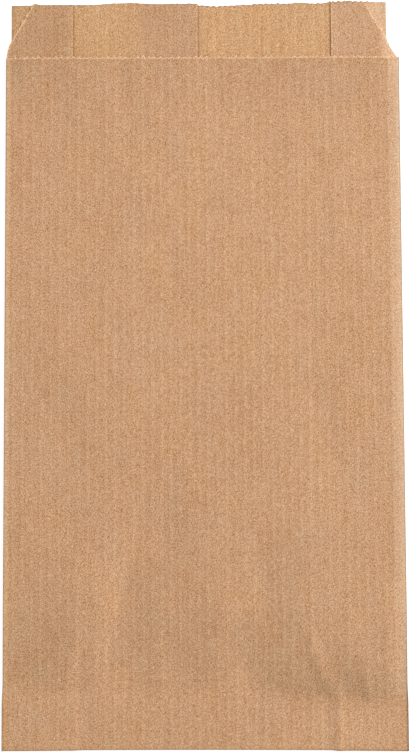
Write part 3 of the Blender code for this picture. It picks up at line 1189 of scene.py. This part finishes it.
@dataclass(frozen=True)
class EffectGroup:
    """A node group that gives values over the web, which several materials use.

    Attributes:
        name: The group's name.
        outputs: Names of its outputs.
    """

    name: str
    outputs: tuple[str, ...]

    def wire(self, desk: Desk, place: bpy.types.NodeSocket) -> dict[str, bpy.types.NodeSocket]:
        """Wire the inside of the group.

        Args:
            desk: The desk of the group's tree.
            place: The place on the web, in metres.

        Returns:
            The sockets to put out, by name.
        """
        raise NotImplementedError

    def tree(self) -> bpy.types.NodeTree:
        """Give the group, built the first time.

        Returns:
            The group's tree.
        """
        found = bpy.data.node_groups.get(self.name)
        if found:
            return found
        tree = bpy.data.node_groups.new(self.name, "ShaderNodeTree")
        tree.interface.new_socket("Place", in_out="INPUT", socket_type="NodeSocketVector")
        for name in self.outputs:
            tree.interface.new_socket(name, in_out="OUTPUT", socket_type="NodeSocketFloat")
        entry, leave = tree.nodes.new("NodeGroupInput"), tree.nodes.new("NodeGroupOutput")
        for name, socket in self.wire(Desk(tree), entry.outputs["Place"]).items():
            tree.links.new(socket, leave.inputs[name])
        return tree

    def place(self, desk: Desk, place: bpy.types.NodeSocket) -> bpy.types.NodeOutputs:
        """Use the group in a material.

        Args:
            desk: The desk of the material.
            place: The place on the web, in metres.

        Returns:
            The group's outputs.
        """
        node = desk.add("Group", node_tree=self.tree())
        desk.tree.links.new(place, node.inputs["Place"])
        return node.outputs


@dataclass(frozen=True)
class Ribs(EffectGroup):
    """Fine ribs along the web, each with a fainter one between, that come and go.

    Attributes:
        pitch: Distance between the ribs.
        waver: How far they stray to each side.
        straying: The noise in which they stray.
        main: The noise in which the ribs come and go.
        main_strength: How much that changes them, and their mean strength.
        between: The noise in which the ones between them come and go.
        between_strength: How much that changes these, and their mean strength.
        lag: How far the ones between are off the middle, as an angle in radians.
    """

    name: str = "kraft_ribs"
    outputs: tuple[str, ...] = ("Stripe", "Height")
    pitch: float = KraftStock.rib_pitch
    waver: float = 0.22 * MM
    straying: Noise = Noise((9.0 * MM, 30.0 * MM), detail=1.0)
    main: Noise = Noise((5.0 * MM, 26.0 * MM), detail=2.0, rough=0.6)
    main_strength: tuple[float, float] = (0.7, 0.75)
    between: Noise = Noise((4.0 * MM, 18.0 * MM), detail=2.0, rough=0.6, shift=(1.0, 0.0))
    between_strength: tuple[float, float] = (0.6, 0.65)
    lag: float = 0.6

    def wire(self, desk: Desk, place: bpy.types.NodeSocket) -> dict[str, bpy.types.NodeSocket]:
        """Wire the ribs.

        Args:
            desk: The desk of the group's tree.
            place: The place on the web, in metres.

        Returns:
            The stripes that they show, and their height.
        """
        across = desk.add("SeparateXYZ", {0: place}).outputs[0]
        across = desk.math("MULTIPLY_ADD", desk.noise(place, self.straying), self.waver, across)
        turn = desk.math("MULTIPLY", across, 2.0 * math.pi / self.pitch)
        waves = []
        for angle, noise, strength in (
            (turn, self.main, self.main_strength),
            (desk.math("MULTIPLY_ADD", turn, 2.0, self.lag), self.between, self.between_strength),
        ):
            size = desk.math("MULTIPLY_ADD", desk.noise(place, noise), *strength)
            waves.append(desk.math("MULTIPLY", desk.math("COSINE", angle), size))
        return {"Stripe": desk.math("ADD", *waves), "Height": waves[-1]}


@dataclass(frozen=True)
class Fibres(EffectGroup):
    """The grain and mottle of the pulp, with single long fibres in it.

    Attributes:
        grain: The noise of the grain.
        mottle: The noise of the mottle.
        mottle_rise: Its height in the relief.
        strand: Width and length of the cells from which the long fibres are made.
        leans: Directions in which they lie, in degrees.
        strand_range: Values of their noise where a fibre starts to show and where it fully shows.
        strand_rise: Their height in the relief.
    """

    name: str = "kraft_fibres"
    outputs: tuple[str, ...] = ("Grain", "Mottle", "Strands", "Height")
    grain: Noise = Noise((0.26 * MM, 0.33 * MM))
    mottle: Noise = Noise((0.80 * MM, 1.05 * MM), detail=1.0, lean=12.0)
    mottle_rise: float = 0.5
    strand: tuple[float, float] = (0.11 * MM, 1.5 * MM)
    leans: tuple[float, ...] = (-24.0, 4.0, 31.0)
    strand_range: tuple[float, float] = (0.45, 1.1)
    strand_rise: float = 0.3

    def wire(self, desk: Desk, place: bpy.types.NodeSocket) -> dict[str, bpy.types.NodeSocket]:
        """Wire the fibres.

        Args:
            desk: The desk of the group's tree.
            place: The place on the web, in metres.

        Returns:
            The grain, the mottle and the long fibres, and their height.
        """
        grain, mottle = desk.noise(place, self.grain), desk.noise(place, self.mottle)
        lines = [desk.noise(place, Noise(self.strand, lean=lean)) for lean in self.leans]
        strands, *others = [desk.remap(line, *self.strand_range) for line in lines]
        for other in others:
            strands = desk.math("MAXIMUM", strands, other)
        height = desk.math("MULTIPLY", mottle, self.mottle_rise)
        height = desk.math("MULTIPLY_ADD", strands, self.strand_rise, height)
        return {"Grain": grain, "Mottle": mottle, "Strands": strands, "Height": height}


@dataclass(frozen=True)
class Clouds(EffectGroup):
    """Slow unevenness of the sheet, from its formation on the machine, in brightness and in warmth.

    Attributes:
        near: The noise of the small clouds.
        far: The noise of the large ones.
        far_share: Strength of the large ones against the small.
        warmth: The noise of the paper's warmth.
    """

    name: str = "kraft_clouds"
    outputs: tuple[str, ...] = ("Cloud", "Warmth")
    near: Noise = Noise((2.9 * MM, 8.0 * MM), detail=2.0, rough=0.6)
    far: Noise = Noise((19.0 * MM, 42.0 * MM), detail=2.0)
    far_share: float = 0.5
    warmth: Noise = Noise((7.0 * MM, 11.0 * MM), detail=1.0, shift=(0.0, 2.0))

    def wire(self, desk: Desk, place: bpy.types.NodeSocket) -> dict[str, bpy.types.NodeSocket]:
        """Wire the clouds.

        Args:
            desk: The desk of the group's tree.
            place: The place on the web, in metres.

        Returns:
            The clouds and the warmth.
        """
        near, far = desk.noise(place, self.near), desk.noise(place, self.far)
        cloud = desk.math("MULTIPLY_ADD", far, self.far_share, near)
        return {"Cloud": cloud, "Warmth": desk.noise(place, self.warmth)}


@dataclass(frozen=True)
class KraftFinish:
    """A finish of the ribbed brown kraft.

    Attributes:
        name: The material's name.
        paper: Colour where several layers lie together.
        single: Colour of one layer over the ground, painted light from the ground shining through it.
        glow: Colour where the ground's light comes up through the sides, painted as light.
        fibre: Colour of freshly cut fibres, their own lighter colour with a painted highlight on the cut
            edge.
        grain: Strength of the pulp's grain.
        mottle: Strength of its mottle.
        ribs: Strength of the ribs' stripes.
        clouds: Strength of the slow unevenness.
        strands: Strength of the single fibres.
        glow_calm: How much weaker all of these are where the paper glows.
        roughness: Roughness of the surface.
        strand_gloss: How much smoother the single fibres are.
        cloud_rough: How much rougher the paper is where it is cloudy.
        sheen: Strength of the surface's own reflection.
        relief: Height of the bump.
        rib_rise: Height of the ribs in it, as a share.
        TINT: Change of the colour for each unit of the grain.
        WARMTH: Its change for each unit of warmth.
    """

    name: str
    paper: Colour = (0.594, 0.335, 0.173)
    single: Colour = (0.620, 0.348, 0.165)
    glow: Colour = (0.79, 0.515, 0.315)
    fibre: Colour = (0.93, 0.61, 0.34)
    grain: float = 5.6
    mottle: float = 0.25
    ribs: float = 0.6
    clouds: float = 0.75
    strands: float = 0.8
    glow_calm: float = 0.45
    roughness: float = 0.76
    strand_gloss: float = 0.05
    cloud_rough: float = 0.02
    sheen: float = 0.18
    relief: float = 0.008 * MM
    rib_rise: float = 0.35

    TINT = (0.050, 0.078, 0.112)
    WARMTH = (0.014, -0.006, -0.040)

    def build(self) -> bpy.types.Material:
        """Make the material.

        Returns:
            The material.
        """
        material = bpy.data.materials.new(self.name)
        material.use_nodes = True
        material.node_tree.nodes.clear()
        desk = Desk(material.node_tree)
        place = desk.stored("web_place", "Vector")
        ribs, fibres, clouds = (group.place(desk, place) for group in (Ribs(), Fibres(), Clouds()))
        grain = desk.math("MULTIPLY", fibres["Grain"], self.grain)
        for value, strength in (
            (fibres["Mottle"], self.mottle),
            (ribs["Stripe"], self.ribs),
            (clouds["Cloud"], self.clouds),
            (fibres["Strands"], self.strands),
        ):
            grain = desk.math("MULTIPLY_ADD", value, strength, grain)
        calm = desk.math("MULTIPLY_ADD", desk.stored("glow"), -self.glow_calm, 1.0)
        change = desk.times(self.TINT, desk.math("MULTIPLY", grain, calm))
        change = desk.vector("ADD", change, desk.times(self.WARMTH, clouds["Warmth"]))
        colour = desk.vector("MULTIPLY", self.base(desk), desk.vector("ADD", change, WHITE[:3]))
        rough = desk.math("MULTIPLY_ADD", fibres["Strands"], -self.strand_gloss, self.roughness)
        rough = desk.math("MULTIPLY_ADD", clouds["Cloud"], self.cloud_rough, rough)
        height = desk.math("MULTIPLY_ADD", ribs["Height"], self.rib_rise, fibres["Height"])
        bump = desk.add("Bump", {"Height": height, "Distance": self.relief, "Strength": 1.0})
        surface = {"Base Color": colour, "Roughness": rough, "Normal": bump.outputs[0], "Metallic": 0.0}
        shader = desk.add("BsdfPrincipled", surface | {"Specular IOR Level": self.sheen})
        desk.add("OutputMaterial", {"Surface": shader.outputs[0]})
        return material

    def base(self, desk: Desk) -> bpy.types.NodeSocket:
        """Mix the paper's colour by what lies beneath it and how near the cut is: painted light from the
        ground, the cut fibres' lighter colour with a painted highlight, then the painted light and shade.

        Args:
            desk: The material's desk.

        Returns:
            The colour.
        """
        colour = (*self.paper, 1.0)
        for name, other in (("single", self.single), ("glow", self.glow), ("cut", self.fibre)):
            colour = desk.blend(desk.stored(name), colour, (*other, 1.0))
        return desk.times(colour, desk.math("ADD", desk.stored("shade"), 1.0))


@dataclass
class BagSheet:
    """The bag's one folded sheet of kraft, with its full fineness.

    Attributes:
        knife: The knife that cut it.
        front_column: Width of the front's columns.
        other_column: Width of the other runs' columns.
        row: Length of a row.
        fold_steps: Columns over a side fold.
        wrap_steps: Rows over the bottom wrap.
        line_columns: Distances of the columns beside the lines on the lip.
        knee_columns: Distances of the columns beside the front's side folds.
        hem: Distances of the two rows beside a cut.
        cut_steps: Points on each piece of a cut.
        wrap_hem: Height of the first row above the bottom wrap.
        cut_light: How much of the fresh fibres' colour, partly a painted highlight, the front's cut and the
            slants show.
        back_cut_shade: Painted shade along the back's cut, whose teeth are worn.
        sharp: Angle in degrees past which an edge looks sharp.
        name: Name of the piece.
        WELD: Distance within which points are one.
        SLACK: Share of a step that is let pass as rounding.
    """

    knife: ToothedKnife
    front_column: float = KraftStock.rib_pitch / 4
    other_column: float = 2.6 * MM
    row: float = 2.2 * MM
    fold_steps: int = 6
    wrap_steps: int = 8
    line_columns: tuple[float, ...] = (0.08 * MM, 0.17 * MM, 0.26 * MM, 0.36 * MM, 0.6 * MM)
    knee_columns: tuple[float, ...] = (0.15 * MM, 0.4 * MM, 0.85 * MM)
    hem: tuple[float, float] = (0.36 * MM, 0.9 * MM)
    cut_steps: int = 4
    wrap_hem: float = 0.8 * MM
    cut_light: float = 0.85
    back_cut_shade: float = 0.25
    sharp: float = 50.0
    name: str = "bag_paper"

    WELD = 0.001 * MM
    SLACK = 1e-6

    @property
    def web(self) -> FoldedWeb:
        """The folded web."""
        return self.knife.web

    def filled(self, places: list[float], longest: float) -> list[float]:
        """Add even places wherever two lie further apart than allowed.

        Args:
            places: Places that have to be there.
            longest: Largest distance between two.

        Returns:
            All places in order.
        """
        places = sorted(places)
        line = [places[0]]
        for place in places[1:]:
            start = line[-1]
            count = max(1, math.ceil((place - start) / longest - self.SLACK))
            line += [start + (place - start) * step / count for step in range(1, count + 1)]
        return line

    def columns(self) -> Array:
        """Choose the widths of the web that have a column.

        Returns:
            The widths in order.
        """
        sizes, stack = self.web.sizes, self.web.stack
        slant = sizes.half - sizes.slant_reach
        marks = [sizes.half, slant, slant - stack.corner_ramp]
        marks += [sizes.inner_fold, sizes.inner_fold - stack.drape_ramp]
        marks += [sizes.half - step for step in self.knee_columns]
        marks += [-mark for mark in marks] + [-slant - sizes.slant_skew]
        marks += [sizes.seam_edge, sizes.outer_edge, sizes.back_left, sizes.back_right]
        marks += [sizes.outer_edge - stack.seam_margin - stack.seam_ramp]
        folds = (-sizes.inner_fold, sizes.right_fold, sizes.seam_edge)
        steps = [side * step for side in (-1, 1) for step in self.line_columns]
        lines = [fold + step for fold in folds for step in steps]
        widths: list[float] = []
        for panel in self.web.panels:
            low, high = min(panel.start, panel.end) + self.WELD, max(panel.start, panel.end) - self.WELD
            own = marks if panel.run is Run.FRONT else marks + lines
            inside = [panel.web_start + abs(mark - panel.start) for mark in own if low < mark < high]
            longest = self.front_column if panel.run is Run.FRONT else self.other_column
            widths += self.filled([panel.web_start, panel.web_end, *inside], longest)
            if panel is not self.web.panels[-1]:
                turns = range(1, self.fold_steps)
                widths += [panel.web_end + sizes.fold_web * turn / self.fold_steps for turn in turns]
        return np.array(sorted(widths))

    def rows(self) -> Array:
        """Choose the heights of the web that have a row, apart from those beside the cuts.

        Returns:
            The heights in order.
        """
        sizes, stack = self.web.sizes, self.web.stack
        wrap = [-sizes.wrap_web * step / self.wrap_steps for step in range(self.wrap_steps + 1)]
        ends = [-sizes.flap_web, self.wrap_hem, sizes.flap_end, sizes.flap_end + stack.flap_ramp]
        return np.array(self.filled([*wrap, *ends, sizes.top_cut + MM], self.row))

    def flat(self) -> bmesh.types.BMesh:
        """Lay out the flat sheet, cut with its teeth.

        Returns:
            The sheet, with u and v as its x and y.
        """
        columns, levels = self.columns(), self.rows()
        top, bottom = self.knife.top(columns), self.knife.bottom(columns)
        near, far = (distance * self.knife.stretch(columns) for distance in self.hem)
        rows = [bottom, bottom + near]
        rows += [np.clip(level, bottom + far, top - far) for level in levels]
        rows += [top - near, top]
        sheet = bmesh.new()
        across, along = len(columns) - 1, len(rows) - 1
        bmesh.ops.create_grid(sheet, x_segments=across, y_segments=along, size=0.5)
        for vertex in sheet.verts:
            place = round((vertex.co.x + 0.5) * across)
            vertex.co = (columns[place], rows[round((vertex.co.y + 0.5) * along)][place], 0.0)
        bmesh.ops.remove_doubles(sheet, verts=sheet.verts, dist=self.WELD)
        self.cut_teeth(sheet)
        return sheet

    def cut_teeth(self, sheet: bmesh.types.BMesh) -> None:
        """Give both cuts their teeth and torn fibres.

        Args:
            sheet: The flat sheet.
        """
        end = self.web.panels[-1].web_end
        rim = [edge for edge in sheet.edges if edge.is_boundary]
        cuts = [edge for edge in rim if abs(edge.verts[0].co.x - edge.verts[1].co.x) > self.WELD]
        bmesh.ops.subdivide_edges(sheet, edges=cuts, cuts=self.cut_steps - 1)
        rim = {vertex for edge in sheet.edges if edge.is_boundary for vertex in edge.verts}
        rim = [vertex for vertex in rim if self.WELD < vertex.co.x < end - self.WELD]
        rim.sort(key=lambda vertex: tuple(vertex.co))
        middle = self.web.sizes.top_cut / 2
        for at_top in (False, True):
            points = [vertex for vertex in rim if (vertex.co.y > middle) == at_top]
            shift_u, shift_v = self.knife.teeth(np.array([vertex.co.x for vertex in points]), at_top)
            for vertex, across, along in zip(points, shift_u, shift_v):
                vertex.co.x += across
                vertex.co.y += along
        bmesh.ops.triangulate(sheet, faces=[face for face in sheet.faces if len(face.verts) > 4])

    def mark(self, mesh: bpy.types.Mesh, flat: Array, points: Array) -> None:
        """Store what the finishes need to know at each point.

        Args:
            mesh: The sheet's mesh.
            flat: The points on the flat sheet.
            points: The points on the bag.
        """
        u, v = flat[:, 0], flat[:, 1]
        run, tone = self.web.run_at(u), PaperTone(self.web)
        from_cut = np.maximum(np.minimum(self.knife.top(u) - v, v - self.knife.bottom(u)), 0.0)
        on_cut = 1.0 - smooth(from_cut / (self.hem[0] * self.knife.stretch(u)))
        on_back = self.knife.on_back(u)
        # single and glow are painted light from the ground; cut is the cut fibres' lighter colour with a
        # painted highlight; shade is the painted light and shade, with painted shade along the back's cut.
        values = {
            "single": tone.single(run, points[:, 0]),
            "glow": tone.glow(run, points[:, 0], v),
            "cut": self.cut_light * on_cut * (1.0 - on_back),
            "shade": tone.shade(run, points[:, 0], v) - self.back_cut_shade * on_cut * on_back,
        }
        for name, value in values.items():
            stored = mesh.attributes.new(name, "FLOAT", "POINT")
            stored.data.foreach_set("value", np.asarray(value, np.float32))
        place = mesh.attributes.new("web_place", "FLOAT_VECTOR", "POINT")
        place.data.foreach_set("vector", flat.astype(np.float32).ravel())

    def build(self, sides: dict[PaperSide, bpy.types.Material]) -> bpy.types.Object:
        """Cut, fold and dress the sheet.

        Args:
            sides: The materials of its sides.

        Returns:
            The sheet.
        """
        sheet = self.flat()
        mesh = bpy.data.meshes.new(self.name)
        sheet.to_mesh(mesh)
        sheet.free()
        flat = np.zeros(len(mesh.vertices) * 3, np.float32)
        mesh.vertices.foreach_get("co", flat)
        flat = flat.reshape(-1, 3).astype(float)
        points = self.web.fold(flat[:, 0], flat[:, 1])
        mesh.vertices.foreach_set("co", points.astype(np.float32).ravel())
        self.mark(mesh, flat, points)
        for side in PaperSide:
            mesh.materials.append(sides[side])
        return self.thicken(mesh)

    def thicken(self, mesh: bpy.types.Mesh) -> bpy.types.Object:
        """Give the sheet the paper's thickness.

        Args:
            mesh: The folded sheet, which has none.

        Returns:
            The finished sheet.
        """
        draft = bpy.data.objects.new("draft", mesh)
        bpy.context.scene.collection.objects.link(draft)
        paper = draft.modifiers.new("paper", "SOLIDIFY")
        paper.thickness = self.web.sizes.stock.thickness
        paper.offset = 0.0
        paper.material_offset = PaperSide.INSIDE.value
        paper.material_offset_rim = PaperSide.CUT.value
        solid = bpy.data.meshes.new_from_object(draft.evaluated_get(bpy.context.evaluated_depsgraph_get()))
        bpy.data.objects.remove(draft)
        solid.shade_smooth()
        solid.set_sharp_from_angle(angle=math.radians(self.sharp))
        bag = bpy.data.objects.new(self.name, solid)
        bpy.context.scene.collection.objects.link(bag)
        return bag


@dataclass
class Studio:
    """The pale floor, the soft light and the camera.

    Attributes:
        distance: From the camera to the bag.
        tilt: Lean of the camera towards the bag's bottom, in degrees.
        roll: Turn of the camera about its own axis, in degrees.
        aim: The point on the floor in the middle of the picture.
        lens: Focal length in millimetres, for a picture whose long side is 36 mm.
        key_place: Place of the soft key light.
        key_size: Width of the key light.
        key_power: Its power in watts.
        key_colour: Its colour.
        sky: Strength of the even light from all round.
        floor_glow: Light that the floor gives off by itself.
        floor_shade: How light the floor's colour is.
        floor_rough: Its roughness.
        floor_drop: How far it lies below the bag.
        floor_size: Its width.
        floor_cells: Cells of its mesh along each side.
        nearest: Distance from which the camera sees.
    """

    distance: float = 0.9
    tilt: float = 8.41
    roll: float = -0.23
    aim: tuple[float, float] = (0.35 * MM, -1.85 * MM)
    lens: float = 143.67
    key_place: tuple[float, float, float] = (1.36, 1.53, 1.05)
    key_size: float = 1.36
    key_power: float = 72.0
    key_colour: Colour = (0.98, 1.0, 1.06)
    sky: float = 0.42
    floor_glow: float = 0.73
    floor_shade: float = 0.62
    floor_rough: float = 0.9
    floor_drop: float = 0.03 * MM
    floor_size: float = 8.0
    floor_cells: int = 8
    nearest: float = 0.01

    def build(self) -> None:
        """Set the whole studio up."""
        bpy.context.scene.view_settings.view_transform = "Standard"
        self.make_floor()
        self.make_world()
        self.make_key()
        self.make_camera()

    def make_floor(self) -> None:
        """Lay the floor just below the bag."""
        mesh = bpy.data.meshes.new("floor")
        grid = bmesh.new()
        cells = {"x_segments": self.floor_cells, "y_segments": self.floor_cells}
        bmesh.ops.create_grid(grid, size=self.floor_size / 2, **cells)
        grid.to_mesh(mesh)
        grid.free()
        floor = bpy.data.objects.new("floor", mesh)
        floor.location.z = -self.floor_drop
        bpy.context.scene.collection.objects.link(floor)
        material = bpy.data.materials.new("pale_floor")
        material.use_nodes = True
        surface = material.node_tree.nodes["Principled BSDF"]
        for name, value in {
            "Base Color": (self.floor_shade, self.floor_shade, self.floor_shade, 1.0),
            "Roughness": self.floor_rough,
            "Specular IOR Level": 0.0,
            "Emission Color": WHITE,
            "Emission Strength": self.floor_glow,
        }.items():
            surface.inputs[name].default_value = value
        material.cycles.emission_sampling = "NONE"
        mesh.materials.append(material)

    def make_world(self) -> None:
        """Light the scene evenly from all round."""
        world = bpy.data.worlds.new("studio")
        world.use_nodes = True
        back = world.node_tree.nodes["Background"]
        back.inputs["Color"].default_value = WHITE
        back.inputs["Strength"].default_value = self.sky
        bpy.context.scene.world = world

    def make_key(self) -> None:
        """Hang the soft key light past the mouth, to the right."""
        lamp = bpy.data.lights.new("key", "AREA")
        lamp.shape = "SQUARE"
        lamp.size = self.key_size
        lamp.energy = self.key_power
        lamp.color = self.key_colour
        key = bpy.data.objects.new("key", lamp)
        key.location = self.key_place
        key.rotation_mode = "QUATERNION"
        key.rotation_quaternion = (-Vector(self.key_place)).to_track_quat("-Z", "Y")
        bpy.context.scene.collection.objects.link(key)

    def make_camera(self) -> None:
        """Set the camera nearly straight above the bag."""
        lens = bpy.data.cameras.new("camera")
        lens.lens = self.lens
        lens.clip_start = self.nearest
        camera = bpy.data.objects.new("camera", lens)
        lean = math.radians(self.tilt)
        back = Vector((0.0, -math.sin(lean), math.cos(lean)))
        turn = (-back).to_track_quat("-Z", "Y").to_matrix().to_4x4()
        place = Matrix.Translation(Vector((*self.aim, 0.0)) + back * self.distance)
        camera.matrix_world = place @ turn @ Matrix.Rotation(math.radians(self.roll), 4, "Z")
        bpy.context.scene.collection.objects.link(camera)
        bpy.context.scene.camera = camera


def finishes() -> dict[PaperSide, bpy.types.Material]:
    """Make the materials of the paper's sides.

    Returns:
        The material of each side.
    """
    return {
        PaperSide.OUTSIDE: KraftFinish("kraft_outside").build(),
        PaperSide.INSIDE: KraftFinish("kraft_inside", paper=(0.578, 0.322, 0.165)).build(),
        PaperSide.CUT: KraftFinish("kraft_cut_edge", paper=(0.86, 0.56, 0.31), ribs=0.0).build(),
    }


def main() -> None:
    """Build the bag and the studio."""
    low, high = CAD_BOX
    sizes = BagSizes(width=high.x - low.x, length=high.y - low.y)
    web = FoldedWeb(sizes, LayerStack(sizes))
    sheet = BagSheet(ToothedKnife(web)).build(finishes())
    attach(sheet, "root")
    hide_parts("bag")
    LOG.info("%s: %d faces", sheet.name, len(sheet.data.polygons))
    Studio().build()
    LOG.info("studio")
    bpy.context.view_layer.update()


if __name__ == "__main__":
    logging.basicConfig(level=logging.INFO, format="%(message)s")
    main()
